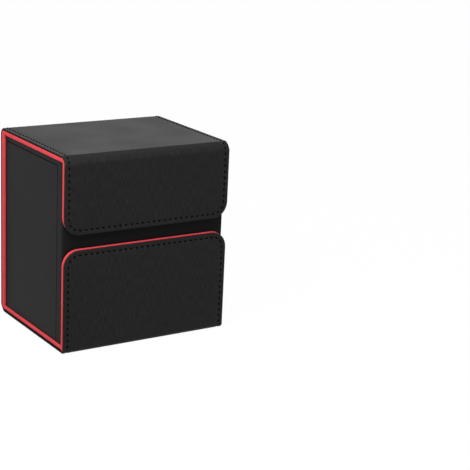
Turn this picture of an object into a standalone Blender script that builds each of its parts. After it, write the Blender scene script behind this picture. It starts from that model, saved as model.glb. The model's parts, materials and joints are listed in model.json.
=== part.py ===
"""A card storage box: a wrap-round leather cover with a flip lid and two front flaps, a card compartment
inside it, and a drawer below the cards.

Metres, +Z up. The origin is the middle of the footprint on the table, and the front faces -Y.
"""

import math

import bmesh
import bpy
from mathutils import Matrix, Vector

# Outside of the closed box
COVER_WIDTH = 0.108
COVER_DEPTH = 0.087
COVER_HEIGHT = 0.116

# Layers of the cover, from outside to inside
LEATHER = 0.0012
BOARD = 0.0018
LINING = 0.0008
GLUE_LINE = 0.0003

# Rounding of the board edges that the leather turns over
BACK_EDGE_ROUND = 0.0015
BOTTOM_EDGE_ROUND = 0.0003

# Front flaps
LOWER_FLAP_TOP = 0.0612
FINGER_GAP = 0.009
FLAP_CORNER = 0.0095
FLAP_CLEARANCE = 0.0004
LID_CLEARANCE = 0.0004

# Card box inside the cover
SIDE_INSET = 0.0008
WRAP = 0.0008
WRAP_CORNER = 0.0025

# Drawer and its pull tab
DRAWER_HEIGHT = 0.031
DRAWER_CLEARANCE = 0.0005
DRAWER_SETBACK = 0.0014
TAB_WIDTH = 0.014
TAB_LENGTH = 0.019
TAB_DROP = 0.003
TAB_CORNER = 0.004

# Closing magnets
MAGNET_RADIUS = 0.005
MAGNET_THICKNESS = 0.0015
MAGNET_FROM_SIDE = 0.025
MAGNET_FROM_EDGE = 0.010

# Cutting and rounding
OVERRUN = 0.002
ROUND_SEGMENTS = 6
MAGNET_SEGMENTS = 32
SMOOTH_ANGLE = math.radians(35)
SAME_PLACE_SHARE = 1e-4

# Sizes that follow from those above
CORE = LINING + GLUE_LINE + BOARD
COVER = CORE + GLUE_LINE + LEATHER
FRONT = -COVER_DEPTH / 2
BACK = COVER_DEPTH / 2
SIDE = COVER_WIDTH / 2
TOP_FRONT_FOLD = COVER
TOP_BACK_FOLD = LEATHER + GLUE_LINE + BACK_EDGE_ROUND
BOTTOM_FRONT_FOLD = LEATHER + GLUE_LINE + BOTTOM_EDGE_ROUND
UPPER_FLAP_BOTTOM = LOWER_FLAP_TOP + FINGER_GAP

# Faces of the card box and the drawer
WRAP_SIDE = SIDE - SIDE_INSET
WRAP_FRONT = FRONT + COVER + FLAP_CLEARANCE
WALL_SIDE_OUT = WRAP_SIDE - WRAP - GLUE_LINE
WALL_SIDE_IN = WALL_SIDE_OUT - BOARD
WALL_FRONT_OUT = WRAP_FRONT + WRAP + GLUE_LINE
WALL_FRONT_IN = WALL_FRONT_OUT + BOARD
WALL_BACK_OUT = BACK - COVER - GLUE_LINE
WALL_BACK_IN = WALL_BACK_OUT - BOARD
WALL_BOTTOM = COVER + GLUE_LINE
WALL_TOP = COVER_HEIGHT - COVER - LID_CLEARANCE
DRAWER_BOTTOM = COVER + DRAWER_CLEARANCE
DRAWER_TOP = DRAWER_BOTTOM + DRAWER_HEIGHT
SHELF_BOTTOM = DRAWER_TOP + DRAWER_CLEARANCE
SHELF_TOP = SHELF_BOTTOM + BOARD
DRAWER_SIDE = WALL_SIDE_IN - DRAWER_CLEARANCE
DRAWER_FRONT = WRAP_FRONT + DRAWER_SETBACK
DRAWER_BOX_FRONT = DRAWER_FRONT + WRAP + GLUE_LINE
DRAWER_BACK = WALL_BACK_IN - DRAWER_CLEARANCE


def fold_axis_inset(radius):
    """How far inside the corner a fold's axis lies, so that its leather keeps its length when it opens flat."""
    return radius * (1 - math.pi / 4)


def linear(value):
    return value / 12.92 if value <= 0.04045 else ((value + 0.055) / 1.055) ** 2.4


def material(name, colour, roughness, metallic=0.0):
    """A Principled material from an sRGB hex colour."""
    made = bpy.data.materials.new(name)
    made.use_nodes = True
    shader = made.node_tree.nodes["Principled BSDF"]
    channels = [linear((colour >> shift & 0xFF) / 0xFF) for shift in (16, 8, 0)]
    shader.inputs["Base Color"].default_value = (*channels, 1.0)
    shader.inputs["Roughness"].default_value = roughness
    shader.inputs["Metallic"].default_value = metallic
    made.diffuse_color = (*channels, 1.0)
    return made


def empty(name, location, parent=None):
    made = bpy.data.objects.new(name, None)
    bpy.context.scene.collection.objects.link(made)
    put_under(made, Vector(location), parent)
    return made


def world_location(obj):
    """The place of an object whose parents only move it."""
    place = obj.location.copy()
    while obj.parent:
        obj = obj.parent
        place += obj.location
    return place


def put_under(obj, location, parent):
    obj.parent = parent
    obj.location = location - world_location(parent) if parent else location


def finish_mesh(name, bm, location, look, parent):
    """Turns a bmesh that is built round its own origin into an object at a location."""
    bmesh.ops.recalc_face_normals(bm, faces=bm.faces)
    mesh = bpy.data.meshes.new(name)
    bm.to_mesh(mesh)
    bm.free()
    mesh.shade_smooth()
    mesh.set_sharp_from_angle(angle=SMOOTH_ANGLE)
    if look:
        mesh.materials.append(look)
    obj = bpy.data.objects.new(name, mesh)
    bpy.context.scene.collection.objects.link(obj)
    put_under(obj, location, parent)
    return obj


def edges_on(bm, size, sides):
    """The straight edge of a box that lies on these sides, such as (0, -1, 1): along X, low Y and high Z."""
    def lies_there(vertex):
        places = [(side * size[i] / 2, vertex.co[i]) for i, side in enumerate(sides) if side]
        return all(math.isclose(wanted, found, rel_tol=SAME_PLACE_SHARE) for wanted, found in places)
    return [edge for edge in bm.edges if all(map(lies_there, edge.verts))]


def rounded_box(name, low, high, look, parent=None, rounds=()):
    """A box between two corners. Each of its rounds is (sides, radius), with the sides as edges_on takes them."""
    low, high = Vector(low), Vector(high)
    size = high - low
    bm = bmesh.new()
    bmesh.ops.create_cube(bm, size=1)
    bmesh.ops.scale(bm, vec=size, verts=bm.verts)
    for sides, radius in rounds:
        bmesh.ops.bevel(
            bm,
            geom=edges_on(bm, size, sides),
            offset=radius,
            segments=ROUND_SEGMENTS,
            profile=0.5,
            affect="EDGES",
        )
    return finish_mesh(name, bm, (low + high) / 2, look, parent)


def arc(centre, radius, start, end):
    """Points of an arc in a plane, both ends included, with angles in degrees."""
    steps = [start + (end - start) * i / ROUND_SEGMENTS for i in range(ROUND_SEGMENTS + 1)]
    return [
        (centre[0] + radius * math.cos(math.radians(a)), centre[1] + radius * math.sin(math.radians(a)))
        for a in steps
    ]


def extruded(name, outline, to_point, start, end, look, parent=None):
    """A prism. to_point places an outline's point (a, b) and a height in space."""
    bm = bmesh.new()
    middle = to_point(*outline[0], (start + end) / 2)
    corners = [bm.verts.new(to_point(a, b, start) - middle) for a, b in outline]
    made = bmesh.ops.extrude_face_region(bm, geom=[bm.faces.new(corners)])
    moved = [item for item in made["geom"] if isinstance(item, bmesh.types.BMVert)]
    bmesh.ops.translate(bm, vec=to_point(*outline[0], end) - to_point(*outline[0], start), verts=moved)
    return finish_mesh(name, bm, middle, look, parent)


def across(y, z, x):
    """For an outline seen from the side, drawn out over the width."""
    return Vector((x, y, z))


def upright(x, y, z):
    """For an outline seen from above, drawn up."""
    return Vector((x, y, z))


def disc(name, centre, radius, thickness, look, parent=None):
    """A round disc whose axis runs from front to back."""
    bm = bmesh.new()
    bmesh.ops.create_cone(
        bm, cap_ends=True, segments=MAGNET_SEGMENTS, radius1=radius, radius2=radius, depth=thickness
    )
    bmesh.ops.rotate(bm, cent=(0, 0, 0), matrix=Matrix.Rotation(math.pi / 2, 3, "X"), verts=bm.verts)
    return finish_mesh(name, bm, Vector(centre), look, parent)


def cut(target, cutter):
    """Takes the cutter out of the target, and keeps it as a hidden guide that follows the target."""
    cutter.hide_render = True
    cutter.display_type = "WIRE"
    place = world_location(cutter)
    put_under(cutter, place, target)
    taken = target.modifiers.new(cutter.name, "BOOLEAN")
    taken.operation = "DIFFERENCE"
    taken.solver = "EXACT"
    taken.object = cutter


def corner_rounds(thin, free, radius):
    """The two free corners of a flap, whose sheet is thin along one axis and free at one end of another."""
    sides = []
    for across_sign in (-1, 1):
        place = [across_sign, 0, 0]
        place[3 - thin] = free
        place[thin] = 0
        sides.append((tuple(place), radius))
    return sides


def panel_core(name, low, high, thin, outward, parent, ends, free=0):
    """A cover panel's board in its lining, which turns over the board's edges and covers its inner face.

    thin is the axis of its thickness and outward the sign of its leather side. ends gives the rounding of
    its low and its high end, and free is the sign of an end with free corners, or 0.
    """
    long = 3 - thin
    fold_rounds = []
    for sign, radius in zip((-1, 1), ends):
        sides = [0, 0, 0]
        sides[thin], sides[long] = outward, sign
        fold_rounds += [(tuple(sides), min(radius, CORE - GLUE_LINE))] if radius else []

    def inset(by, inner, outer):
        """The core's corners moved in by a margin, with a margin from its inner and its outer face."""
        a, b = Vector(low), Vector(high)
        a[0], b[0] = a[0] + by, b[0] - by
        a[long], b[long] = a[long] + by + ends[0], b[long] - by - ends[1]
        if outward > 0:
            a[thin], b[thin] = a[thin] + inner, b[thin] - outer
        else:
            a[thin], b[thin] = a[thin] + outer, b[thin] - inner
        rounds = corner_rounds(thin, free, FLAP_CORNER - by) if free else ()
        return a, b, rounds

    own_rounds = fold_rounds + (corner_rounds(thin, free, FLAP_CORNER) if free else [])
    lining = rounded_box(f"{name}_lining", low, high, LOOKS["lining"], parent, own_rounds)
    a, b, rounds = inset(LINING, LINING, -OVERRUN)
    cut(lining, rounded_box(f"cut_{name}_pocket", a, b, None, parent, rounds))
    a, b, rounds = inset(LINING + GLUE_LINE, LINING + GLUE_LINE, 0)
    return rounded_box(f"{name}_board", a, b, LOOKS["board"], parent, rounds)


def fold_strip(name, corner, toward, radius, parent):
    """The leather of a fold: a quarter ring. toward gives the signs from the sharp corner to the ring's centre."""
    centre = (corner[0] + toward[0] * radius, corner[1] + toward[1] * radius)
    start = math.degrees(math.atan2(-toward[1], -toward[0])) - 45
    outline = arc(centre, radius, start, start + 90)
    outline += reversed(arc(centre, radius - LEATHER, start, start + 90))
    return extruded(name, outline, across, -SIDE, SIDE, LOOKS["leather"], parent)


def cover_leather():
    """The fixed leather: one sheet under the box, round the lower back corner and up the back."""
    near = FRONT + BOTTOM_FRONT_FOLD + GLUE_LINE
    high = COVER_HEIGHT - TOP_BACK_FOLD - GLUE_LINE
    centre = (BACK - COVER, COVER)
    outline = [(near, 0)] + arc(centre, COVER, -90, 0) + [(BACK, high), (BACK - LEATHER, high)]
    outline += arc(centre, COVER - LEATHER, 0, -90) + [(near, LEATHER)]
    extruded("cover_leather", outline, across, -SIDE, SIDE, LOOKS["leather"])


def bottom_panel():
    low = (-SIDE, FRONT + COVER + GLUE_LINE, COVER - CORE)
    high = (SIDE, BACK - COVER - GLUE_LINE, COVER)
    panel_core("bottom", low, high, thin=2, outward=-1, parent=None, ends=(0, 0))


def back_panel():
    low = (-SIDE, BACK - COVER, COVER - CORE)
    high = (SIDE, BACK - COVER + CORE, COVER_HEIGHT - COVER + CORE)
    panel_core("back", low, high, thin=1, outward=1, parent=None, ends=(CORE, BACK_EDGE_ROUND))


def lid(axis):
    top = COVER_HEIGHT
    near, far = FRONT + COVER + GLUE_LINE, BACK - COVER - GLUE_LINE
    low, high = (-SIDE, near, top - COVER), (SIDE, far, top - COVER + CORE)
    panel_core("lid", low, high, thin=2, outward=1, parent=axis, ends=(0, 0))
    skin_low, skin_high = (-SIDE, near, top - LEATHER), (SIDE, BACK - TOP_BACK_FOLD - GLUE_LINE, top)
    rounded_box("lid_leather", skin_low, skin_high, LOOKS["leather"], axis)


def upper_flap(axis):
    low = (-SIDE, FRONT + COVER - CORE, UPPER_FLAP_BOTTOM)
    high = (SIDE, FRONT + COVER, COVER_HEIGHT - COVER + CORE)
    board = panel_core("upper_flap", low, high, thin=1, outward=-1, parent=axis, ends=(0, CORE), free=-1)
    flap_leather("upper_flap", UPPER_FLAP_BOTTOM, COVER_HEIGHT - TOP_FRONT_FOLD - GLUE_LINE, -1, axis)
    magnets("upper_flap_magnet", board, flap_magnet_depth(), UPPER_FLAP_BOTTOM + MAGNET_FROM_EDGE, axis)


def lower_flap(axis):
    low = (-SIDE, FRONT + COVER - CORE, COVER - CORE)
    high = (SIDE, FRONT + COVER, LOWER_FLAP_TOP)
    ends = (BOTTOM_EDGE_ROUND, 0)
    board = panel_core("lower_flap", low, high, thin=1, outward=-1, parent=axis, ends=ends, free=1)
    flap_leather("lower_flap", BOTTOM_FRONT_FOLD + GLUE_LINE, LOWER_FLAP_TOP, 1, axis)
    magnets("lower_flap_magnet", board, flap_magnet_depth(), LOWER_FLAP_TOP - MAGNET_FROM_EDGE, axis)


def flap_leather(name, bottom, top, free, axis):
    low, high = (-SIDE, FRONT, bottom), (SIDE, FRONT + LEATHER, top)
    rounds = corner_rounds(1, free, FLAP_CORNER)
    rounded_box(f"{name}_leather", low, high, LOOKS["leather"], axis, rounds)


def flap_magnet_depth():
    return FRONT + LEATHER + GLUE_LINE + BOARD / 2


def magnets(name, board, depth, height, parent):
    """Two magnets in round holes of a board."""
    for side, word in ((-1, "left"), (1, "right")):
        centre = (side * (SIDE - MAGNET_FROM_SIDE), depth, height)
        hole = disc(f"cut_{name}_{word}", centre, MAGNET_RADIUS + GLUE_LINE, BOARD + OVERRUN, None)
        cut(board, hole)
        disc(f"{name}_{word}", centre, MAGNET_RADIUS, MAGNET_THICKNESS, LOOKS["magnet"], parent)


def card_box_walls():
    """Side, front and back boards of the card box, and the shelf that the cards stand on."""
    between = WALL_SIDE_IN - GLUE_LINE
    for side, word in ((-1, "left"), (1, "right")):
        x = sorted((side * WALL_SIDE_OUT, side * WALL_SIDE_IN))
        low, high = (x[0], WALL_FRONT_OUT, WALL_BOTTOM), (x[1], WALL_BACK_OUT, WALL_TOP)
        rounds = [((side, -1, 0), max(WRAP_CORNER - WRAP - GLUE_LINE, GLUE_LINE))]
        rounded_box(f"{word}_wall_board", low, high, LOOKS["board"], None, rounds)
    low, high = (-between, WALL_FRONT_OUT, SHELF_BOTTOM), (between, WALL_FRONT_IN, WALL_TOP)
    front = rounded_box("front_wall_board", low, high, LOOKS["board"])
    low, high = (-between, WALL_BACK_IN, WALL_BOTTOM), (between, WALL_BACK_OUT, WALL_TOP)
    rounded_box("back_wall_board", low, high, LOOKS["board"])
    low = (-between, WALL_FRONT_IN + GLUE_LINE, SHELF_BOTTOM)
    high = (between, WALL_BACK_IN - GLUE_LINE, SHELF_TOP)
    rounded_box("card_floor_board", low, high, LOOKS["board"])
    depth = (WALL_FRONT_OUT + WALL_FRONT_IN) / 2
    magnets("wall_magnet_upper", front, depth, UPPER_FLAP_BOTTOM + MAGNET_FROM_EDGE, None)
    magnets("wall_magnet_lower", front, depth, LOWER_FLAP_TOP - MAGNET_FROM_EDGE, None)


def card_box_wrap():
    """The leather round the sides and front of the card box, open in front of the drawer."""
    turn = WRAP_FRONT + WRAP_CORNER
    side = WRAP_SIDE - WRAP_CORNER
    inner = WRAP_CORNER - WRAP
    outline = [(-WRAP_SIDE, WALL_BACK_OUT)] + arc((-side, turn), WRAP_CORNER, 180, 270)
    outline += arc((side, turn), WRAP_CORNER, 270, 360) + [(WRAP_SIDE, WALL_BACK_OUT)]
    outline += [(WRAP_SIDE - WRAP, WALL_BACK_OUT)] + arc((side, turn), inner, 360, 270)
    outline += arc((-side, turn), inner, 270, 180) + [(WRAP - WRAP_SIDE, WALL_BACK_OUT)]
    wrap = extruded("card_box_wrap", outline, upright, WALL_BOTTOM, WALL_TOP, LOOKS["wrap"])
    low = (-WALL_SIDE_IN, WRAP_FRONT - OVERRUN, WALL_BOTTOM - OVERRUN)
    high = (WALL_SIDE_IN, WALL_FRONT_IN, SHELF_BOTTOM - GLUE_LINE)
    cut(wrap, rounded_box("cut_drawer_mouth", low, high, None))


def card_lining():
    """The red lining of the card compartment, one piece for each face."""
    side = WALL_SIDE_IN - GLUE_LINE
    near, far = WALL_FRONT_IN + GLUE_LINE, WALL_BACK_IN - GLUE_LINE
    floor = SHELF_TOP + GLUE_LINE
    foot = floor + LINING + GLUE_LINE
    between = side - LINING - GLUE_LINE
    faces = {
        "floor": ((-side, near, floor), (side, far, floor + LINING)),
        "left": ((-side, near, foot), (LINING - side, far, WALL_TOP)),
        "right": ((side - LINING, near, foot), (side, far, WALL_TOP)),
        "front": ((-between, near, foot), (between, near + LINING, WALL_TOP)),
        "back": ((-between, far - LINING, foot), (between, far, WALL_TOP)),
    }
    for word, (low, high) in faces.items():
        rounded_box(f"card_lining_{word}", low, high, LOOKS["lining"])


def drawer_boards(slide):
    """A floor with four walls standing on it."""
    wall_foot = DRAWER_BOTTOM + BOARD + GLUE_LINE
    inner = DRAWER_SIDE - BOARD
    between = inner - GLUE_LINE
    near, far = DRAWER_BOX_FRONT, DRAWER_BACK
    faces = {
        "floor": ((-DRAWER_SIDE, near, DRAWER_BOTTOM), (DRAWER_SIDE, far, DRAWER_BOTTOM + BOARD)),
        "left": ((-DRAWER_SIDE, near, wall_foot), (-inner, far, DRAWER_TOP)),
        "right": ((inner, near, wall_foot), (DRAWER_SIDE, far, DRAWER_TOP)),
        "front": ((-between, near, wall_foot), (between, near + BOARD, DRAWER_TOP)),
        "back": ((-between, far - BOARD, wall_foot), (between, far, DRAWER_TOP)),
    }
    for word, (low, high) in faces.items():
        rounded_box(f"drawer_{word}_board", low, high, LOOKS["board"], slide)


def drawer_lining(slide):
    """One open tray of lining inside the drawer."""
    side = DRAWER_SIDE - BOARD - GLUE_LINE
    near, far = DRAWER_BOX_FRONT + BOARD + GLUE_LINE, DRAWER_BACK - BOARD - GLUE_LINE
    floor = DRAWER_BOTTOM + BOARD + GLUE_LINE
    low, high = (-side, near, floor), (side, far, DRAWER_TOP)
    tray = rounded_box("drawer_lining", low, high, LOOKS["lining"], slide)
    low = (LINING - side, near + LINING, floor + LINING)
    high = (side - LINING, far - LINING, DRAWER_TOP + OVERRUN)
    cut(tray, rounded_box("cut_drawer_inside", low, high, None))


def drawer_front(slide):
    """The leather of the drawer's front, and the tab that pulls it."""
    low = (-DRAWER_SIDE, DRAWER_FRONT, DRAWER_BOTTOM)
    high = (DRAWER_SIDE, DRAWER_FRONT + WRAP, DRAWER_TOP)
    rounded_box("drawer_front_leather", low, high, LOOKS["wrap"], slide)
    tab_top = DRAWER_TOP - TAB_DROP
    tab_back = DRAWER_FRONT - GLUE_LINE
    low, high = (-TAB_WIDTH / 2, tab_back - WRAP, tab_top - TAB_LENGTH), (TAB_WIDTH / 2, tab_back, tab_top)
    rounds = [((sign, 0, -1), TAB_CORNER) for sign in (-1, 1)]
    rounded_box("drawer_pull_tab", low, high, LOOKS["wrap"], slide, rounds)


def make_looks():
    return {
        "leather": material("black_leather", 0x28282A, 0.55),
        "wrap": material("black_leather_wrap", 0x303033, 0.50),
        "board": material("grey_board", 0x6B675F, 0.85),
        "lining": material("red_microfibre", 0xD5464C, 0.80),
        "magnet": material("nickel_plate", 0xC9C7C0, 0.25, metallic=1.0),
    }


def clear_scene():
    for obj in list(bpy.data.objects):
        bpy.data.objects.remove(obj, do_unlink=True)


clear_scene()
LOOKS = make_looks()

back_inset = fold_axis_inset(TOP_BACK_FOLD)
front_inset = fold_axis_inset(TOP_FRONT_FOLD)
bottom_inset = fold_axis_inset(BOTTOM_FRONT_FOLD)
lid_axis = empty("lid_axis", (0, BACK - back_inset, COVER_HEIGHT - back_inset))
upper_flap_axis = empty("upper_flap_axis", (0, FRONT + front_inset, COVER_HEIGHT - front_inset), lid_axis)
drawer_slide = empty("drawer_slide", (0, DRAWER_FRONT, DRAWER_BOTTOM))
lower_flap_axis = empty("lower_flap_axis", (0, FRONT + bottom_inset, bottom_inset), drawer_slide)

cover_leather()
bottom_panel()
back_panel()
card_box_walls()
card_box_wrap()
card_lining()
fold_strip("top_back_fold", (BACK, COVER_HEIGHT), (-1, -1), TOP_BACK_FOLD, None)

lid(lid_axis)
fold_strip("top_front_fold", (FRONT, COVER_HEIGHT), (1, -1), TOP_FRONT_FOLD, lid_axis)
upper_flap(upper_flap_axis)

drawer_boards(drawer_slide)
drawer_lining(drawer_slide)
drawer_front(drawer_slide)
fold_strip("bottom_front_fold", (FRONT, 0), (1, 1), BOTTOM_FRONT_FOLD, drawer_slide)
lower_flap(lower_flap_axis)
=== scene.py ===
"""The looks of a card storage box: black brushed leather over a red lining, sewn with black thread.

Metres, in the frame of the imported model: +Z up, the front flaps face -Y. Millimetres are written times MM.
The cover's sheets follow one route, from the lower edge of the upper flap up the front, over the lid, down
the back, under the bottom and up the lower flap. A place on a sheet is (u, v): u across the box, and v along
the route.
"""

import json
import math

import bmesh
import bpy
from mathutils import Matrix, Vector


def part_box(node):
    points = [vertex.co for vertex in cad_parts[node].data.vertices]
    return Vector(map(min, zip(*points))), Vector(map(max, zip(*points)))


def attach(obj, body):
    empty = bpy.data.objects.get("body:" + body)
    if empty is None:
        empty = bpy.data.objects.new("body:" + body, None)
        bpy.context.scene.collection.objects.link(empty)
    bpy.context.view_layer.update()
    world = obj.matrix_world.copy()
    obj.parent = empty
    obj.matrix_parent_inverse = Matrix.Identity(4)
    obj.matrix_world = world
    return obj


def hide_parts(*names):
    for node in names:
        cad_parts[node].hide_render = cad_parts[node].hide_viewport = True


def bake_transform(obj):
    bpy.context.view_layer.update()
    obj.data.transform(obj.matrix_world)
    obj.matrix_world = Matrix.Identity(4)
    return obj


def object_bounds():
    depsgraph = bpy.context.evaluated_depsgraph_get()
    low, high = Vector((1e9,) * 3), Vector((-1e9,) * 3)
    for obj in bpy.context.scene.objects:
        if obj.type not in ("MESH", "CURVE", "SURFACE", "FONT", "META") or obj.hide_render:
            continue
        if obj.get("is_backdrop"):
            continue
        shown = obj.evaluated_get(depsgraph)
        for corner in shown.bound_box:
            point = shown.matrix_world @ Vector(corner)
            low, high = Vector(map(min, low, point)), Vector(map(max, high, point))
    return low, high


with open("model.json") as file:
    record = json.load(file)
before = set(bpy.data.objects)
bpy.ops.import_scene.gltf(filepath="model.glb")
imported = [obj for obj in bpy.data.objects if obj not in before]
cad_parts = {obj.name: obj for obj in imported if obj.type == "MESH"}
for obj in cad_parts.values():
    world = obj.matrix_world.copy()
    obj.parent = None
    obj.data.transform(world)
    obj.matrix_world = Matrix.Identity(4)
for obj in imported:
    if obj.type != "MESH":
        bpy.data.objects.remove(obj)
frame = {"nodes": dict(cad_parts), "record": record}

cad_low, cad_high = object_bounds()

MM = 0.001


def size_of(node):
    low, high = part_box(node)
    return high - low


# Sizes that the frame gives
FRONT, BACK = cad_low.y, cad_high.y
SIDE, TOP = cad_high.x, cad_high.z
LEATHER = size_of("lid_leather").z
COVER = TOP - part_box("lid_lining")[0].z
CORE = size_of("lid_lining").z
GLUE_LINE = COVER - LEATHER - CORE
TOP_FRONT_FOLD = size_of("top_front_fold").z
TOP_BACK_FOLD = size_of("top_back_fold").z
BOTTOM_FRONT_FOLD = size_of("bottom_front_fold").z
UPPER_FLAP_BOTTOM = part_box("upper_flap_leather")[0].z
LOWER_FLAP_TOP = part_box("lower_flap_leather")[1].z
FLAP_BOARD_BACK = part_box("upper_flap_board")[1].y - FRONT

# Leather of the cover: corners, and an edge that is cut square behind and rolled in front
FLAP_CORNER = 9.5 * MM
SKIN_CUT = 0.15 * MM
SKIN_ROLL = 0.45 * MM
SKIN_ROLL_STEPS = 5
CORNER_STEPS = 8

# Folds: the outer face is flattened by a share of the bulge, down to a depth
FOLD_STEPS = 10
BEVEL = 0.62
BEVEL_DEPTH = 1.8 * MM
NEXT_TO_FOLD = 0.8 * MM

# Boards wrapped in lining: where they depart from the solids, so that the red bands have their real width
HANGING_CORNER = 10.8 * MM
BEHIND_FLAP_BOARD = 0.1 * MM
LID_LINING_LACKS = 0.6 * MM
BOTTOM_LINING_LACKS = 0.5 * MM
# Extra black leather at the bottom, standing in for the shadow under the box: painted shade
BOTTOM_SHADOW_LEATHER = 0.8 * MM
LINING_PROUD = 0.25 * MM
LINING_EDGE = 0.35 * MM
LINING_EDGE_STEPS = 4

# Strips of lining that bend on the inside of the folds
STRIP_INSET = 0.6 * MM
STRIP_REACH = 3.2 * MM
STRIP = 0.16 * MM

# Sewing
STITCH_MARGIN = 2.8 * MM
STITCH_PITCH = 3.68 * MM
STITCH_LENGTH = 1.6 * MM
STITCH_SLANT = 0.06
THREAD_RADIUS = 0.42 * MM
GROOVE = 0.26 * MM
HALF_GROOVE = 0.85 * MM
GROOVE_STEPS = 6
STITCH_STEPS = 8
THREAD_SIDES = 8
THREAD_TAPER = 0.96
THREAD_PROUD = 0.1 * THREAD_RADIUS
THREAD_DIP = 0.9 * THREAD_RADIUS

# Card box: where it sits beside its solid, and its leather
CARD_BOX_SHIFT = 0.6 * MM
CARD_BOX_SWELL = 0.2 * MM
CARD_BOX_DROP = 0.7 * MM
CARD_BOX_BACK = 0.2 * MM
ON_BOARD = 0.05 * MM
WRAP_CORNER = 1.3 * MM
FRONT_TURN = 6.9 * MM
TOP_TURN = 2.1 * MM
# A gap between the card box's leather sheets, where the black board shows as a dark line of painted shade
SLIT = 0.6 * MM

# Rims of the card box and the drawer
RIM = 0.15 * MM
CARD_RIM_TOP = 0.8 * MM
RIM_ROLL = 0.14 * MM
RIM_ROLL_STEPS = 4
RIM_LIP = 1.5 * MM
DRAWER_RIM_CORNER = 0.6 * MM
DRAWER_LIP = 3 * MM
DRAWER_WALL_LINED = 1.3 * MM

# Lining across the hinge of the lower flap
TONGUE_ROOM = 0.3 * MM
TONGUE = 0.12 * MM
TONGUE_REACH = 9 * MM

# Front of the drawer, with its pull tab
DRAWER_CORNER = 1.5 * MM
TAB_CORNER = 4 * MM
TAB_ROW = 1.8 * MM

# Studio
WHITE = 1.05
FLOOR_GLOW = 0.93
FLOOR_REACH = 6
ROOM_LIGHT = 0.6
LAMP_PLACE = Vector((-0.25, -0.21, 0.4))
LAMP_AIM = Vector((0, -0.03, 0.12))
LAMP_WIDTH = 0.32
LAMP_POWER = 2.3

# Camera, as a fit to the straight edges of the box in the photo gives it
CAMERA_PLACE = Vector((-0.3864, -0.7121, 0.2891))
CAMERA_AZIMUTH = math.radians(-33.76)
CAMERA_ELEVATION = math.radians(16.03)
CAMERA_ROLL = math.radians(-2.69)
LENS_MM = 105.8
SENSOR_MM = 36

SMOOTH_ANGLE = math.radians(40)
WELD = 0.001 * MM


def linear(value):
    return value / 12.92 if value <= 0.04045 else ((value + 0.055) / 1.055) ** 2.4


def colour(hex_value):
    """An sRGB hex colour as the linear values that shaders take."""
    return (*(linear((hex_value >> shift & 0xFF) / 0xFF) for shift in (16, 8, 0)), 1.0)


def add(tree, kind, inputs=None, **settings):
    """Adds a node with its settings. Each input takes a value, or another node's output as a link."""
    made = tree.nodes.new(kind)
    for name, value in settings.items():
        setattr(made, name, value)
    for name, value in (inputs or {}).items():
        if isinstance(value, bpy.types.NodeSocket):
            tree.links.new(value, made.inputs[name])
        else:
            made.inputs[name].default_value = value
    return made


def new_material(name):
    made = bpy.data.materials.new(name)
    made.use_nodes = True
    made.node_tree.nodes.clear()
    return made, made.node_tree


def place_on(tree, bends):
    """Where a pattern lies: fixed in the object, or on the flat sheet for pieces that bend at a fold."""
    if bends:
        return add(tree, "ShaderNodeUVMap", uv_map="grain").outputs["UV"]
    return add(tree, "ShaderNodeTexCoord").outputs["Object"]


def brushed_leather():
    """Polyurethane leather, brushed along the sheet before its top coat: fine lines and a satin gloss."""
    made, tree = new_material("brushed_pu_leather")
    # The real lines are about 0.2 mm wide and the pores 0.1 mm: too fine to show, so they are drawn coarser.
    line_width, line_length, pore = 0.45 * MM, 5 * MM, 0.3 * MM
    uneven_coat = 35 * MM
    place = place_on(tree, bends=True)
    stretch = (1 / line_width, 1 / line_length, 1)
    along = add(tree, "ShaderNodeVectorMath", {0: place, 1: stretch}, operation="MULTIPLY").outputs[0]
    lines = add(tree, "ShaderNodeTexNoise", {"Vector": along, "Scale": 1, "Detail": 1, "Roughness": 0.5})
    pores = add(tree, "ShaderNodeTexNoise", {"Vector": place, "Scale": 1 / pore, "Detail": 2})
    drift = add(tree, "ShaderNodeTexNoise", {"Vector": place, "Scale": 1 / uneven_coat, "Detail": 1})
    worn = add(tree, "ShaderNodeMapRange", {
        "Value": lines.outputs["Fac"], "From Min": 0.3, "From Max": 0.7})
    tint = add(tree, "ShaderNodeMix", {
        "Factor": worn.outputs["Result"], "A": colour(0x111112), "B": colour(0x202021)}, data_type="RGBA")
    sheen = add(tree, "ShaderNodeMapRange", {
        "Value": drift.outputs["Fac"], "From Min": 0.3, "From Max": 0.7, "To Min": 0.46, "To Max": 0.54})
    deep = add(tree, "ShaderNodeBump", {
        "Height": pores.outputs["Fac"], "Strength": 0.25, "Distance": 0.04 * MM})
    bump = add(tree, "ShaderNodeBump", {
        "Height": lines.outputs["Fac"], "Normal": deep.outputs["Normal"], "Strength": 0.6,
        "Distance": 0.06 * MM})
    shader = add(tree, "ShaderNodeBsdfPrincipled", {
        "Base Color": tint.outputs["Result"], "Roughness": sheen.outputs["Result"], "IOR": 1.22,
        "Normal": bump.outputs["Normal"]})
    add(tree, "ShaderNodeOutputMaterial", {"Surface": shader.outputs["BSDF"]})
    return made


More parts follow.
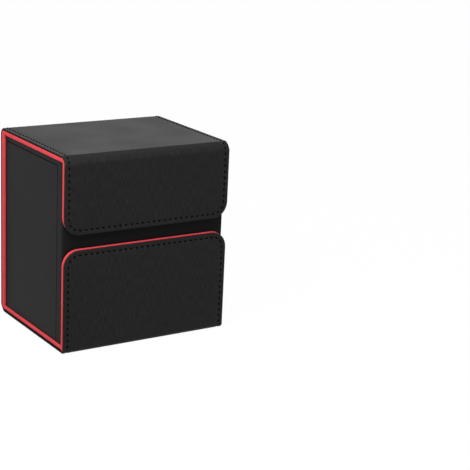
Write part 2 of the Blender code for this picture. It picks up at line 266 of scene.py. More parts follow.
def smooth_leather():
    """Polyurethane leather pressed with a plain grain and pulled tight round boards: even and smooth."""
    made, tree = new_material("pressed_pu_leather")
    # The real grain has cells of about 0.5 mm, and is drawn so. The tint drifts over 22 mm.
    grain, uneven_tint = 0.5 * MM, 22 * MM
    place = place_on(tree, bends=False)
    cells = add(tree, "ShaderNodeTexVoronoi", {"Vector": place, "Scale": 1 / grain}, feature="SMOOTH_F1")
    cloud = add(tree, "ShaderNodeTexNoise", {"Vector": place, "Scale": 1 / uneven_tint, "Detail": 2})
    tint = add(tree, "ShaderNodeMix", {
        "Factor": cloud.outputs["Fac"], "A": colour(0x161617), "B": colour(0x1B1B1C)}, data_type="RGBA")
    bump = add(tree, "ShaderNodeBump", {
        "Height": cells.outputs["Distance"], "Strength": 0.3, "Distance": 0.03 * MM})
    shader = add(tree, "ShaderNodeBsdfPrincipled", {
        "Base Color": tint.outputs["Result"], "Roughness": 0.48, "IOR": 1.13,
        "Normal": bump.outputs["Normal"]})
    add(tree, "ShaderNodeOutputMaterial", {"Surface": shader.outputs["BSDF"]})
    return made


def red_microfibre(name, bends=False):
    """Microfibre, sueded to a dense short nap: matt, brighter at a glance, in small brushed clouds."""
    made, tree = new_material(name)
    # The real fibres are about 0.02 mm thick, too fine to show, and are drawn coarser.
    fibre, brushed_cloud = 0.12 * MM, 5 * MM
    place = place_on(tree, bends)
    nap = add(tree, "ShaderNodeTexNoise", {"Vector": place, "Scale": 1 / fibre, "Detail": 2})
    cloud = add(tree, "ShaderNodeTexNoise", {"Vector": place, "Scale": 1 / brushed_cloud, "Detail": 4})
    mixed = add(tree, "ShaderNodeMix", {
        "Factor": 0.35, "A": cloud.outputs["Fac"], "B": nap.outputs["Fac"]}, data_type="FLOAT")
    tint = add(tree, "ShaderNodeMix", {
        "Factor": mixed.outputs["Result"], "A": colour(0xBC2E37), "B": colour(0xE4474E)}, data_type="RGBA")
    bump = add(tree, "ShaderNodeBump", {
        "Height": nap.outputs["Fac"], "Strength": 0.5, "Distance": 0.08 * MM})
    shader = add(tree, "ShaderNodeBsdfPrincipled", {
        "Base Color": tint.outputs["Result"], "Roughness": 0.9, "IOR": 1.4, "Sheen Weight": 0.15,
        "Sheen Roughness": 0.4, "Sheen Tint": colour(0xFF9A9A), "Normal": bump.outputs["Normal"]})
    add(tree, "ShaderNodeOutputMaterial", {"Surface": shader.outputs["BSDF"]})
    return made


def thread_and_hole_shade():
    """Bonded polyester thread, twisted from plies and black, coloured darker still so that it also stands in for
    the shade in the needle holes: painted shade. Nearly matt, with a slanted twist.
    """
    made, tree = new_material("black_thread_and_hole_shade")
    # The real plies show as bands 1.3 mm apart, and Blender's bands lie 0.63 of the texture's size apart.
    texture_size = 2.1 * MM
    place = place_on(tree, bends=True)
    twist = add(tree, "ShaderNodeTexWave", {
        "Vector": place, "Scale": 1 / texture_size, "Distortion": 0.5}, bands_direction="DIAGONAL")
    # Near-black: the thread's own black, and darker for the painted shade of the needle holes
    tint = add(tree, "ShaderNodeMix", {
        "Factor": twist.outputs["Fac"], "A": colour(0x010101), "B": colour(0x050505)}, data_type="RGBA")
    bump = add(tree, "ShaderNodeBump", {
        "Height": twist.outputs["Fac"], "Strength": 0.4, "Distance": 0.04 * MM})
    shader = add(tree, "ShaderNodeBsdfPrincipled", {
        "Base Color": tint.outputs["Result"], "Roughness": 0.8, "IOR": 1.08,
        "Normal": bump.outputs["Normal"]})
    add(tree, "ShaderNodeOutputMaterial", {"Surface": shader.outputs["BSDF"]})
    return made


def dark_cut_edge():
    """The cut edge of a leather, coloured darker than its faces so that it shows as a dark line: matt and a little
    rough.
    """
    made, tree = new_material("dark_leather_edge")
    # The real fibres of the edge are about 0.05 mm thick, too fine to show, and are drawn coarser.
    fuzz_size = 0.3 * MM
    place = place_on(tree, bends=True)
    fuzz = add(tree, "ShaderNodeTexNoise", {"Vector": place, "Scale": 1 / fuzz_size, "Detail": 2})
    tint = add(tree, "ShaderNodeMix", {
        "Factor": fuzz.outputs["Fac"], "A": colour(0x060606), "B": colour(0x0D0D0D)}, data_type="RGBA")
    bump = add(tree, "ShaderNodeBump", {
        "Height": fuzz.outputs["Fac"], "Strength": 0.4, "Distance": 0.05 * MM})
    shader = add(tree, "ShaderNodeBsdfPrincipled", {
        "Base Color": tint.outputs["Result"], "Roughness": 0.75, "IOR": 1.12,
        "Normal": bump.outputs["Normal"]})
    add(tree, "ShaderNodeOutputMaterial", {"Surface": shader.outputs["BSDF"]})
    return made


def card_board(name, dark, light, ior):
    """Solid board, pressed from paper pulp: matt, with flecks and short fibres of up to 0.8 mm."""
    made, tree = new_material(name)
    fleck = 0.8 * MM
    place = place_on(tree, bends=False)
    pulp = add(tree, "ShaderNodeTexNoise", {
        "Vector": place, "Scale": 1 / fleck, "Detail": 5, "Roughness": 0.7})
    tint = add(tree, "ShaderNodeMix", {
        "Factor": pulp.outputs["Fac"], "A": colour(dark), "B": colour(light)}, data_type="RGBA")
    bump = add(tree, "ShaderNodeBump", {
        "Height": pulp.outputs["Fac"], "Strength": 0.3, "Distance": 0.05 * MM})
    shader = add(tree, "ShaderNodeBsdfPrincipled", {
        "Base Color": tint.outputs["Result"], "Roughness": 0.85, "IOR": ior,
        "Normal": bump.outputs["Normal"]})
    add(tree, "ShaderNodeOutputMaterial", {"Surface": shader.outputs["BSDF"]})
    return made


def nickel_plate():
    """Nickel plated on a pressed and tumbled magnet: bright, with a gloss that is uneven over 2 mm."""
    made, tree = new_material("nickel_plate")
    tumbled = 2 * MM
    place = place_on(tree, bends=False)
    uneven = add(tree, "ShaderNodeTexNoise", {"Vector": place, "Scale": 1 / tumbled, "Detail": 2})
    gloss = add(tree, "ShaderNodeMapRange", {
        "Value": uneven.outputs["Fac"], "From Min": 0.3, "From Max": 0.7, "To Min": 0.2, "To Max": 0.32})
    shader = add(tree, "ShaderNodeBsdfPrincipled", {
        "Base Color": colour(0xC9C7C0), "Metallic": 1.0, "Roughness": gloss.outputs["Result"]})
    add(tree, "ShaderNodeOutputMaterial", {"Surface": shader.outputs["BSDF"]})
    return made


def seen_directly(tree):
    """1 for what the camera sees, also in a gloss or through glass, and 0 for light on the object."""
    ray = add(tree, "ShaderNodeLightPath")
    direct = add(tree, "ShaderNodeMath", {
        0: ray.outputs["Is Camera Ray"], 1: ray.outputs["Is Glossy Ray"]}, operation="MAXIMUM")
    return add(tree, "ShaderNodeMath", {
        0: direct.outputs[0], 1: ray.outputs["Is Transmission Ray"]}, operation="MAXIMUM").outputs[0]


def pale_floor():
    """Matt white studio board. The camera sees it nearly white, with a weak shadow."""
    made, tree = new_material("studio_board")
    # The real pulp is too fine to show, and is drawn 3 mm coarse and very faint.
    pulp_size = 3 * MM
    place = place_on(tree, bends=False)
    pulp = add(tree, "ShaderNodeTexNoise", {"Vector": place, "Scale": 1 / pulp_size, "Detail": 2})
    tint = add(tree, "ShaderNodeMix", {
        "Factor": pulp.outputs["Fac"], "A": colour(0x969696), "B": colour(0x9A9A9A)}, data_type="RGBA")
    matt = add(tree, "ShaderNodeBsdfDiffuse", {"Color": tint.outputs["Result"]})
    glow = add(tree, "ShaderNodeEmission", {"Color": colour(0xFFFFFF), "Strength": WHITE})
    share = add(tree, "ShaderNodeMath", {0: seen_directly(tree), 1: FLOOR_GLOW}, operation="MULTIPLY")
    both = add(tree, "ShaderNodeMixShader", {
        0: share.outputs[0], 1: matt.outputs["BSDF"], 2: glow.outputs["Emission"]})
    add(tree, "ShaderNodeOutputMaterial", {"Surface": both.outputs["Shader"]})
    return made


def straight_part(first, last, before, after):
    """A flat run. Deep below its face it ends early, where it meets the next run inside a tight fold."""
    way = (last - first).normalized()
    outward = Vector((-way.y, way.x))
    length = (last - first).length

    def at(v, height):
        low = max(0, -height - before) if before else -math.inf
        high = length - max(0, -height - after) if after else math.inf
        return first + way * min(max(v, low), high) + outward * height

    return length, at


def folded_part(last, way, radius):
    """A quarter turn to the right about a centre. Deeper than its radius, the fold is a sharp corner.

    The outer face is flattened between its two creases, where the leather spans the gap between two boards.
    """
    outward = Vector((-way.y, way.x))
    centre = last - outward * radius
    half = math.pi / 4

    def at(v, height):
        angle = v / radius
        cut = BEVEL * radius * (1 - math.cos(half) / math.cos(angle - half))
        share = 1 + height / min(BEVEL_DEPTH, radius)
        reach = radius + height - cut * min(max(share, 0), 1)
        if reach < 0:
            return centre + (outward + way) * reach
        return centre + (outward * math.cos(angle) + way * math.sin(angle)) * reach

    return radius * math.pi / 2, at


# The folds, in their order along the cover
TOP_FRONT, TOP_BACK, BOTTOM_BACK, BOTTOM_FRONT = range(4)


class Route:
    """The way of a sheet seen from the side, as flat runs and quarter turns to the right."""

    def __init__(self, corners, radii, thick_bottom=False):
        self.thick_bottom = thick_bottom
        corners = [Vector(corner) for corner in corners]
        radii = [0, *radii, 0]
        self.parts, self.folds, self.length = [], [], 0
        for start, end, before, after in zip(corners, corners[1:], radii, radii[1:]):
            way = (end - start).normalized()
            self.extend(*straight_part(start + way * before, end - way * after, before, after))
            if after:
                self.folds.append((self.length, self.length + after * math.pi / 2))
                self.extend(*folded_part(end - way * after, way, after))

    def extend(self, length, at):
        self.parts.append((self.length, at))
        self.length += length

    def middle(self, fold):
        return sum(self.folds[fold]) / 2

    def place(self, u, v, height):
        """The point at u across the sheet, v along it and a height above its outer face."""
        start, at = [part for part in self.parts if part[0] <= v or not part[0]][-1]
        if self.thick_bottom:
            height = self.bottom_height(v, height)
        point = at(v - start, height)
        return Vector((u, point.x, point.y))

    def bottom_height(self, v, height):
        """From the bottom back fold on, the leather is thicker, and the lined board above it thinner. The extra
        black leather stands in for the shadow under the box: painted shade.
        """
        first, last = self.folds[BOTTOM_BACK]
        share = min(max((v - first) / (last - first), 0), 1)
        into_skin = min(max(-height / LEATHER, 0), 1)
        into_core = min(max(-(height + LEATHER + GLUE_LINE) / CORE, 0), 1)
        shadow_leather = into_skin * BOTTOM_SHADOW_LEATHER
        back_up = into_core * (BOTTOM_SHADOW_LEATHER + BOTTOM_LINING_LACKS)
        return height - share * (shadow_leather - back_up)

    def marks(self, start, end):
        """Where rows of points are needed between two places: through folds and beside them."""
        found = {start, end}
        for first, last in self.folds:
            found |= {first + (last - first) * i / FOLD_STEPS for i in range(FOLD_STEPS + 1)}
            found |= {first - NEXT_TO_FOLD, last + NEXT_TO_FOLD}
        return sorted(v for v in found if start <= v <= end)


class Panel:
    """A panel along a route, as lines that run round it from its inner face over its edge to its outer one.

    A free end has round corners and an edge like the sides. A cut end is plain: another piece goes on there.
    """

    def __init__(self, route, reach, near, far, free=(), corner=FLAP_CORNER):
        self.route, self.reach, self.ends, self.corner = route, reach, (near, far), corner
        self.free = ["near" in free, "far" in free]
        self.marks = route.marks(near + corner * self.free[0], far - corner * self.free[1])

    def corners(self, inset, which):
        """Points round both corners of a free end, from the left to the right."""
        if not self.free[which]:
            return []
        sign = (1, -1)[which]
        radius = max(self.corner - inset, 0)
        middle_u, middle_v = self.reach - inset - radius, self.ends[which] + sign * (inset + radius)
        angles = [math.pi / 2 * i / CORNER_STEPS for i in range(CORNER_STEPS + 1)]
        right = [(middle_u + radius * math.cos(a), middle_v - sign * radius * math.sin(a)) for a in angles]
        return [(-u, v) for u, v in right] + right[::-1]

    def line(self, inset):
        """One line round the panel: down the left side, round the near end, up the right side and back."""
        left = [(inset - self.reach, v) for v in reversed(self.marks)]
        right = [(self.reach - inset, v) for v in self.marks]
        return left, self.corners(inset, 0), right, self.corners(inset, 1)[::-1]

    def ring(self, bm, inset, height, flat):
        """The points of one line. flat takes each point's place on the sheet."""
        made = []
        for part in self.line(inset):
            for u, v in part:
                vert = bm.verts.new(self.route.place(u, v, height))
                flat[vert] = (u, v)
                made.append(vert)
        return made

    def build(self, name, section, look, edge_look=None, edge=()):
        """A closed mesh. section lists (inset, height) from the inner face over the edge to the outer one.

        edge lists the steps of the section that take edge_look.
        """
        bm, flat = bmesh.new(), {}
        rings = [self.ring(bm, inset, height, flat) for inset, height in section]
        rows = len(self.marks)
        right = rows + len(self.corners(0, 0))
        ends = {rows - 1: self.free[0], len(rings[0]) - 1: self.free[1]}
        for step, (lower, upper) in enumerate(zip(rings, rings[1:])):
            for i in range(len(lower)):
                if ends.get(i, True):
                    j = i - len(lower) + 1
                    face = bm.faces.new((lower[j], lower[i], upper[i], upper[j]))
                    face.material_index = int(step in edge)
        for ring in (rings[0], rings[-1]):
            for i in range(rows - 1):
                j = right + rows - 1 - i
                bm.faces.new((ring[i], ring[i + 1], ring[j - 1], ring[j]))
        for one, other, free in ((rows - 1, right, self.free[0]), (0, right + rows - 1, self.free[1])):
            if not free:
                bm.faces.new([ring[one] for ring in rings] + [ring[other] for ring in reversed(rings)])
        lay_grain(bm, flat)
        bmesh.ops.remove_doubles(bm, verts=bm.verts, dist=WELD)
        return finish_mesh(name, bm, *filter(None, (look, edge_look)))


def lay_grain(bm, flat):
    """Keeps each point's place on the flat sheet as the map that patterns follow."""
    grain = bm.loops.layers.uv.new("grain")
    for face in bm.faces:
        for loop in face.loops:
            loop[grain].uv = flat[loop.vert]


def finish_mesh(name, bm, *looks):
    bmesh.ops.recalc_face_normals(bm, faces=bm.faces)
    mesh = bpy.data.meshes.new(name)
    bm.to_mesh(mesh)
    bm.free()
    mesh.shade_smooth()
    mesh.set_sharp_from_angle(angle=SMOOTH_ANGLE)
    for look in looks:
        mesh.materials.append(look)
    obj = bpy.data.objects.new(name, mesh)
    bpy.context.scene.collection.objects.link(obj)
    return obj


def quarter(radius, steps):
    """(inset, drop) round an edge, from its side to its face."""
    angles = [math.pi / 2 * i / steps for i in range(steps + 1)]
    return [(radius * (1 - math.cos(a)), radius * (1 - math.sin(a))) for a in angles]


# The steps of a leather's section that are its cut edge
CUT_EDGE = (1, 2)


def skin_section(thickness, margin, row=None):
    """The edge of a leather: cut square behind and rolled in front, with a row pressed in by the thread."""
    section = [(margin, -thickness), (SKIN_CUT, -thickness), (0, SKIN_CUT - thickness)]
    section += [(inset, -drop) for inset, drop in quarter(SKIN_ROLL, SKIN_ROLL_STEPS)]
    if row:
        for i in range(GROOVE_STEPS + 1):
            share = 2 * i / GROOVE_STEPS - 1
            section.append((row + HALF_GROOVE * share, -GROOVE * (1 + math.cos(math.pi * share)) / 2))
    return section + [(margin, 0)]


def core_section(outer, inner, margin):
    """A board wrapped in lining: soft edges and plain faces."""
    edge = quarter(LINING_EDGE, LINING_EDGE_STEPS)
    front = [(inset, outer - drop) for inset, drop in edge]
    back = [(inset, inner + drop) for inset, drop in reversed(edge)]
    return [(margin, inner), *back, *front, (margin, outer)]


def strip_section(outer, inner, margin):
    return [(margin, inner), (0, inner), (0, outer), (margin, outer)]


def sewing_lines(panel, row):
    """The lines that the needle follows, as points (u, v): one for each side, or one round a free end."""
    left, near, right, far = panel.line(row)
    if panel.free[0]:
        return [left + near + right]
    if panel.free[1]:
        return [right + far + left]
    return [left, right]


def walk(points, pitch):
    """Places at an even pitch along a line, each with its direction."""
    points = [Vector(point) for point in points]
    total = sum((end - start).length for start, end in zip(points, points[1:]))
    count = round(total / pitch)
    step, travelled, wanted = total / count, 0, 0.5
    for start, end in zip(points, points[1:]):
        length = (end - start).length
        while length and wanted * step <= travelled + length and wanted < count:
            yield start.lerp(end, (wanted * step - travelled) / length), (end - start) / length
            wanted += 1
        travelled += length


def add_stitch(bm, flat_place, route, middle, way):
    """A short length of thread that dips into its two holes. flat_place takes its points' places."""
    across = Vector((-way.y, way.x))
    lean = (way + across * STITCH_SLANT).normalized()
    rings = []
    for i in range(STITCH_STEPS + 1):
        share = 2 * i / STITCH_STEPS - 1
        radius = THREAD_RADIUS * math.sqrt(1 - THREAD_TAPER * share ** 4)
        lift = THREAD_PROUD - THREAD_DIP * share ** 4 - GROOVE / 2
        ring = []
        for j in range(THREAD_SIDES):
            angle = math.tau * j / THREAD_SIDES
            flat = middle + lean * share * STITCH_LENGTH / 2 + across * radius * math.cos(angle)
            vert = bm.verts.new(route.place(flat.x, flat.y, lift + radius * math.sin(angle)))
            flat_place[vert] = flat
            ring.append(vert)
        rings.append(ring)
    for lower, upper in zip(rings, rings[1:]):
        for j in range(THREAD_SIDES):
            bm.faces.new((lower[j - 1], lower[j], upper[j], upper[j - 1]))
    bm.faces.new(rings[0])
    bm.faces.new(rings[-1])


def sew(name, panel, row, look):
    bm, flat_place = bmesh.new(), {}
    for stretch in sewing_lines(panel, row):
        for middle, way in walk(stretch, STITCH_PITCH):
            add_stitch(bm, flat_place, panel.route, middle, way)
    lay_grain(bm, flat_place)
    return finish_mesh(name, bm, look)


LEATHER_LOOK = brushed_leather()
WRAP_LOOK = smooth_leather()
RED_LOOK = red_microfibre("red_microfibre")
FOLD_LOOK = red_microfibre("folded_red_microfibre", bends=True)
THREAD_AND_HOLE_SHADE_LOOK = thread_and_hole_shade()
EDGE_LOOK = dark_cut_edge()
BOARD_LOOK = card_board("grey_board", 0x6E6B64, 0x8A877E, 1.45)
# Black board: its own paper, and through the card box's slits a dark line of painted shade
BLACK_BOARD_AND_SLIT_SHADE_LOOK = card_board("black_board_and_slit_shade", 0x060606, 0x0B0B0B, 1.1)
MAGNET_LOOK = nickel_plate()

SLOT_LOOKS = {"cover_leather": LEATHER_LOOK, "wrap_leather": WRAP_LOOK, "lining": RED_LOOK,
              "board": BOARD_LOOK, "magnet": MAGNET_LOOK}


def dress_solids():
    """Gives each solid the look of its slot. The boards of card box and drawer are black: their own black paper,
    and where the card box's slits show them, a dark line of painted shade.
    """
    for part in frame["record"]["subparts"]:
        node = part["node"]
        black_board = node.startswith("drawer") or "wall_board" in node or node == "card_floor_board"
        look = SLOT_LOOKS[part["material_slot"]]
        if black_board and look == BOARD_LOOK:
            look = BLACK_BOARD_AND_SLIT_SHADE_LOOK
        if node == "lower_flap_board":
            # Its end comes out at the fold, where the lining is turned round it.
            look = RED_LOOK
        for material_slot in frame["nodes"][node].material_slots:
            material_slot.material = look


COVER_CORNERS = (
    (FRONT, UPPER_FLAP_BOTTOM), (FRONT, TOP), (BACK, TOP), (BACK, 0), (FRONT, 0), (FRONT, LOWER_FLAP_TOP))
COVER_RADII = (TOP_FRONT_FOLD, TOP_BACK_FOLD, COVER, BOTTOM_FRONT_FOLD)
COVER_ROUTE = Route(COVER_CORNERS, COVER_RADII)


def fold_bend(fold):
    """Where a fold starts and ends in space, on the outer face."""
    return [COVER_ROUTE.place(0, v, 0) for v in COVER_ROUTE.folds[fold]]


upper_start, upper_end = fold_bend(TOP_FRONT)
lid_start, lid_end = fold_bend(TOP_BACK)
lower_start, lower_end = fold_bend(BOTTOM_FRONT)

# For each body that a fold carries: the two bodies that the fold joins, and where it bends
BENDS = {
    "upper_flap": ("lid", "upper_flap", upper_end, upper_start),
    "lid": ("box", "lid", lid_end, lid_start),
    "lower_flap": ("drawer", "lower_flap", lower_start, lower_end)}


def follow(piece, body, bends=True):
    """Bakes a piece's place into its mesh where a fold carries its body, and otherwise makes it ride on the body.
    """
    if bends and body in BENDS:
        holder, moved, start, stop = BENDS[body]
        tuple(start)
        tuple(stop)
        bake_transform(piece)
    else:
        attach(piece, body)


def make_length(name, body, panel, core, inner, skins, linings):
    """One length of the cover: its leather, its sewing, and behind them its board wrapped in lining.

    panel is the leather's, core the lined board's, and inner is the height of the lining's inner face.
    """
    skin = skin_section(LEATHER, FLAP_CORNER, STITCH_MARGIN)
    sheet = panel.build(name + "_skin", skin, LEATHER_LOOK, EDGE_LOOK, CUT_EDGE)
    thread = sew(name + "_sewing", panel, STITCH_MARGIN, THREAD_AND_HOLE_SHADE_LOOK)
    outer = -LEATHER - GLUE_LINE
    lined = core.build(name + "_lined", core_section(outer, inner, core.corner), RED_LOOK)
    for piece in (sheet, thread):
        follow(piece, body)
    follow(lined, body, bends=False)
    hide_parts(*skins)
    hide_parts(*linings)


def make_cover():
    """The cover's four lengths. Their leathers meet beside the folds, their lined boards in mid-fold."""
    route = COVER_ROUTE
    box_route = Route(COVER_CORNERS, COVER_RADII, thick_bottom=True)
    # The bottom's lined board ends a little behind the leather, to leave room for the hinge lining.
    hinge_front = FRONT + TONGUE_ROOM
    short_corners = (*COVER_CORNERS[:4], (hinge_front, 0), (hinge_front, LOWER_FLAP_TOP))
    short_route = Route(short_corners, COVER_RADII, thick_bottom=True)
    upper_far = route.folds[TOP_FRONT][1]
    lid_far = route.folds[TOP_BACK][1]
    lower_near = route.folds[BOTTOM_FRONT][0]
    flap_inner = -FLAP_BOARD_BACK - BEHIND_FLAP_BOARD
    make_length(
        "upper_flap", "upper_flap",
        panel=Panel(route, SIDE, 0, upper_far, ("near",)),
        core=Panel(route, SIDE, 0, route.middle(TOP_FRONT), ("near",), HANGING_CORNER),
        inner=flap_inner,
        skins=("upper_flap_leather", "top_front_fold"),
        linings=("upper_flap_lining",))
    make_length(
        "lid", "lid",
        panel=Panel(route, SIDE, upper_far, lid_far),
        core=Panel(route, SIDE, route.middle(TOP_FRONT), route.middle(TOP_BACK)),
        inner=LID_LINING_LACKS - COVER,
        skins=("lid_leather", "top_back_fold"),
        linings=("lid_lining",))
    make_length(
        "back_and_bottom", "box",
        panel=Panel(box_route, SIDE, lid_far, lower_near),
        core=Panel(short_route, SIDE, route.middle(TOP_BACK), short_route.middle(BOTTOM_FRONT)),
        inner=-COVER,
        skins=("cover_leather",),
        linings=("back_lining", "bottom_lining"))
    make_length(
        "lower_flap", "lower_flap",
        panel=Panel(route, SIDE, lower_near, route.length, ("far",)),
        core=Panel(route, SIDE, route.middle(BOTTOM_FRONT), route.length + LINING_PROUD, ("far",)),
        inner=flap_inner,
        skins=("lower_flap_leather", "bottom_front_fold"),
        linings=("lower_flap_lining",))


def make_strips():
    """A thin band of lining on the inner face of each fold that opens."""
    for body, fold in (("upper_flap", TOP_FRONT), ("lid", TOP_BACK), ("lower_flap", BOTTOM_FRONT)):
        first, last = COVER_ROUTE.folds[fold]
        panel = Panel(COVER_ROUTE, SIDE - STRIP_INSET, first - STRIP_REACH, last + STRIP_REACH)
        outer = -LEATHER - (GLUE_LINE - STRIP) / 2
        section = strip_section(outer, outer - STRIP, FLAP_CORNER)
        strip = panel.build(body + "_fold_lining", section, FOLD_LOOK)
        follow(strip, body)


def rounded_rectangle(low, high, radius):
    """Points (x, y) round a rectangle, from its front right corner on."""
    found = []
    corners = ((high[0], low[1]), (high[0], high[1]), (low[0], high[1]), (low[0], low[1]))
    for i, (x, y) in enumerate(corners):
        centre = Vector((x - math.copysign(radius, x), y - math.copysign(radius, y)))
        for j in range(CORNER_STEPS + 1):
            angle = math.pi / 2 * (i - 1 + j / CORNER_STEPS)
            found.append(centre + Vector((math.cos(angle), math.sin(angle))) * radius)
    return found


def ring_solid(name, section, look):
    """A closed ring. section lists rectangles (low, high, corner radius, height) along its skin."""
    bm = bmesh.new()
    rings = [[bm.verts.new((*point, height)) for point in rounded_rectangle(low, high, radius)]
             for low, high, radius, height in section]
    for lower, upper in zip(rings, rings[1:] + rings[:1]):
        for i in range(len(lower)):
            bm.faces.new((lower[i - 1], lower[i], upper[i], upper[i - 1]))
    bmesh.ops.remove_doubles(bm, verts=bm.verts, dist=WELD)
    return finish_mesh(name, bm, look)


def grown(corners, amount):
    """A rectangle (low, high) with each side moved out by an amount."""
    low, high = corners
    return low - Vector((amount, amount)), high + Vector((amount, amount))


def turned_rim(name, outer, inner, corner, foot, top, lip, look):
    """Leather that comes up outside a wall, turns over its top and goes down a short way inside."""
    roll = quarter(RIM_ROLL, RIM_ROLL_STEPS)
    section = [(*outer, corner, foot)]
    section += [(*grown(outer, -inset), corner - inset, top - drop) for inset, drop in roll]
    section += [(*grown(inner, inset), RIM, top - drop) for inset, drop in reversed(roll)]
    section += [(*inner, RIM, lip), (*grown(inner, RIM), RIM, lip)]
    section += [(*grown(inner, RIM), RIM, top - RIM), (*grown(outer, -RIM), RIM, top - RIM),
                (*grown(outer, -RIM), RIM, foot)]
    return ring_solid(name, section, look)


def plates(bm, outer, inner, heights, missing=()):
    """Upright sheets between two lines of points (x, y), less the cells (level, i) that missing lists."""
    verts = [[[bm.verts.new((x, y, z)) for x, y in line] for z in heights] for line in (outer, inner)]
    cells = {(level, i) for level in range(len(heights) - 1) for i in range(len(outer) - 1)} - set(missing)
    for level, i in cells:
        ring = ((level, i), (level, i + 1), (level + 1, i + 1), (level + 1, i))
        for side in verts:
            bm.faces.new([side[row][column] for row, column in ring])
        beside = ((level - 1, i), (level, i + 1), (level + 1, i), (level, i - 1))
        for cell, start, stop in zip(beside, ring, ring[1:] + ring[:1]):
            if cell not in cells:
                near, far = ([side[row][column] for row, column in (start, stop)] for side in verts)
                bm.faces.new(near + far[::-1])


def plan_of(*nodes):
    """The rectangle between panels that stand round a space: (low, high) in x and y."""
    left, right, front, back = nodes
    return Vector((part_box(left)[1].x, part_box(front)[1].y)), Vector((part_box(right)[0].x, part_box(back)[0].y))


def make_card_box():
    """The card box's leather: a sheet round the front and along the top, a panel in each side, and a rim. Slits
    between sheet and panels show the black board as dark lines of painted shade.
    """
    low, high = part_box("card_box_wrap")
    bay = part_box("right_wall_board")[0].x
    bay_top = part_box("card_floor_board")[0].z - GLUE_LINE
    board_side, board_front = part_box("right_wall_board")[1].x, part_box("front_wall_board")[0].y
    left, right = (sign * (high.x + CARD_BOX_SWELL) + CARD_BOX_SHIFT for sign in (-1, 1))
    front, back = low.y, high.y + CARD_BOX_BACK
    foot, turn_foot = low.z - CARD_BOX_DROP, high.z - TOP_TURN
    edge = front + FRONT_TURN

    def on_board(line):
        """The same points, brought in to just off the boards."""
        reach = board_side + ON_BOARD
        return [(min(max(x, -reach), reach), max(y, board_front - ON_BOARD)) for x, y in line]

    bm = bmesh.new()
    for side in (left, right):
        line = [(side, back), (side, edge + SLIT)]
        plates(bm, line, on_board(line), (foot, turn_foot - SLIT))
    turn = quarter(WRAP_CORNER, CORNER_STEPS)
    line = [(left, back), (left, edge)]
    line += [(left + across, front + along) for across, along in turn]
    opening = len(line)
    line += [(-bay, front), (bay, front)]
    line += [(right - across, front + along) for across, along in reversed(turn)]
    line += [(right, edge), (right, back)]
    last = len(line) - 2
    # Left open: the drawer's bay, and below the top turn the sides, which have panels of their own.
    plates(bm, line, on_board(line), (foot, bay_top, turn_foot, high.z),
           [(0, opening), (0, 0), (1, 0), (0, last), (1, last)])
    skin = finish_mesh("card_box_skin", bm, WRAP_LOOK)
    outer = Vector((left, front)), Vector((right, high.y))
    lined = plan_of("card_lining_left", "card_lining_right", "card_lining_front", "card_lining_back")
    inner = grown(lined, -RIM)
    rim = turned_rim("card_box_rim", outer, inner, WRAP_CORNER, high.z + ON_BOARD, high.z + CARD_RIM_TOP,
                     high.z - RIM_LIP, WRAP_LOOK)
    for piece in (skin, rim):
        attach(piece, "box")
    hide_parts("card_box_wrap")


def extrude(bm, outline, reach):
    """A solid with one outline of points (y, z), from -reach to reach across the box."""
    ends = [[bm.verts.new((x, y, z)) for y, z in outline] for x in (-reach, reach)]
    for ring in ends:
        bm.faces.new(ring)
    for i in range(len(outline)):
        bm.faces.new((ends[0][i - 1], ends[0][i], ends[1][i], ends[1][i - 1]))


def make_tongue():
    """A strip of lining from under the drawer to the lower flap, down the slope between their linings."""
    top = COVER + TONGUE / 2
    slope = FRONT + TONGUE_ROOM + TONGUE / 2
    foot, knee, back = LEATHER + GLUE_LINE, COVER - CARD_BOX_DROP, slope + top + TONGUE_REACH
    wide, narrow = SIDE - STRIP_INSET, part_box("drawer_floor_board")[1].x
    bm = bmesh.new()
    extrude(bm, [(slope + foot, foot), (slope + foot - TONGUE, foot), (slope + knee - TONGUE, knee),
                 (slope + knee, knee)], wide)
    extrude(bm, [(back, top), (slope + top, top), (slope + knee, knee), (slope + knee - TONGUE, knee),
                 (slope + top - TONGUE / 2, top + TONGUE), (back, top + TONGUE)], narrow)
    tongue = finish_mesh("hinge_lining", bm, RED_LOOK)
    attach(tongue, "drawer")


def upright_panel(node, free, corner):
    """A flat upright panel in the place of a node, and its thickness."""
    low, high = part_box(node)
    flat = Route(((low.y, low.z), (low.y, high.z)), ())
    return Panel(flat, high.x, 0, flat.length, free, corner), high.y - low.y


def make_drawer():
    """The drawer's leather: a skin over its walls, a front with rolled edges, and a sewn pull tab."""
    floor_low, floor_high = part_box("drawer_floor_board")
    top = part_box("drawer_left_board")[1].z
    walls = plan_of("drawer_left_board", "drawer_right_board", "drawer_front_board", "drawer_back_board")
    outer = grown((floor_low.xy, floor_high.xy), RIM)
    inner = grown(walls, -DRAWER_WALL_LINED)
    skin = turned_rim("drawer_skin", outer, inner, DRAWER_RIM_CORNER, floor_low.z, top + RIM,
                      top - DRAWER_LIP, WRAP_LOOK)
    panel, thickness = upright_panel("drawer_front_leather", ("near", "far"), DRAWER_CORNER)
    section = skin_section(thickness, DRAWER_CORNER)
    front = panel.build("drawer_front_skin", section, LEATHER_LOOK, EDGE_LOOK, CUT_EDGE)
    panel, thickness = upright_panel("drawer_pull_tab", ("near",), TAB_CORNER)
    section = skin_section(thickness, TAB_CORNER, TAB_ROW)
    tab = panel.build("pull_tab", section, LEATHER_LOOK, EDGE_LOOK, CUT_EDGE)
    thread = sew("pull_tab_sewing", panel, TAB_ROW, THREAD_AND_HOLE_SHADE_LOOK)
    for piece in (skin, front, tab, thread):
        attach(piece, "drawer")
    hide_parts("drawer_front_leather")
    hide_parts("drawer_pull_tab")


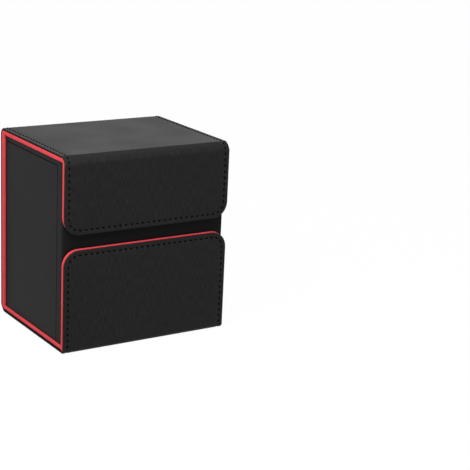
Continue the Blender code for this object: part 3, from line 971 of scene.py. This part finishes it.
def white_table():
    """A wide white table that the box stands on."""
    bm = bmesh.new()
    bmesh.ops.create_grid(bm, x_segments=1, y_segments=1, size=FLOOR_REACH)
    floor = finish_mesh("studio_floor", bm, pale_floor())
    floor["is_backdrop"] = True


def bright_room():
    """A plain bright room, white where the camera sees it."""
    world = bpy.data.worlds.new("soft_room")
    bpy.context.scene.world = world
    world.use_nodes = True
    tree = world.node_tree
    tree.nodes.clear()
    walls = add(tree, "ShaderNodeBackground", {"Color": colour(0xFFFFFF), "Strength": ROOM_LIGHT})
    paper = add(tree, "ShaderNodeBackground", {"Color": colour(0xFFFFFF), "Strength": WHITE})
    room = add(tree, "ShaderNodeMixShader", {
        0: seen_directly(tree), 1: walls.outputs["Background"], 2: paper.outputs["Background"]})
    add(tree, "ShaderNodeOutputWorld", {"Surface": room.outputs["Shader"]})


def soft_box():
    """One broad round lamp, high at the front left."""
    light = bpy.data.lights.new("soft_box", "AREA")
    light.shape, light.size, light.energy = "DISK", LAMP_WIDTH, LAMP_POWER
    lamp = bpy.data.objects.new("soft_box", light)
    lamp.location = LAMP_PLACE
    lamp.rotation_euler = (LAMP_AIM - LAMP_PLACE).to_track_quat("-Z", "Y").to_euler()
    bpy.context.scene.collection.objects.link(lamp)


def camera():
    """Long lens from the front left, at the photo's height and slight roll."""
    level_ahead = Vector((-math.sin(CAMERA_AZIMUTH), math.cos(CAMERA_AZIMUTH), 0))
    ahead = level_ahead * math.cos(CAMERA_ELEVATION) - Vector((0, 0, math.sin(CAMERA_ELEVATION)))
    level_right = Vector((math.cos(CAMERA_AZIMUTH), math.sin(CAMERA_AZIMUTH), 0))
    right = level_right * math.cos(CAMERA_ROLL) + ahead.cross(level_right) * math.sin(CAMERA_ROLL)
    down = ahead.cross(right)
    data = bpy.data.cameras.new("long_lens")
    data.sensor_width = SENSOR_MM
    data.lens = LENS_MM
    obj = bpy.data.objects.new("camera", data)
    turn = Matrix((right, -down, -ahead)).transposed().to_4x4()
    obj.matrix_world = Matrix.Translation(CAMERA_PLACE) @ turn
    bpy.context.scene.collection.objects.link(obj)
    bpy.context.scene.camera = obj


dress_solids()
make_cover()
make_strips()
make_card_box()
make_tongue()
make_drawer()
white_table()
bright_room()
soft_box()
camera()
bpy.context.scene.view_settings.view_transform = "Standard"

({"cad": [list(corner) for corner in (cad_low, cad_high)],
           "visual": [list(corner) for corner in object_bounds()]})
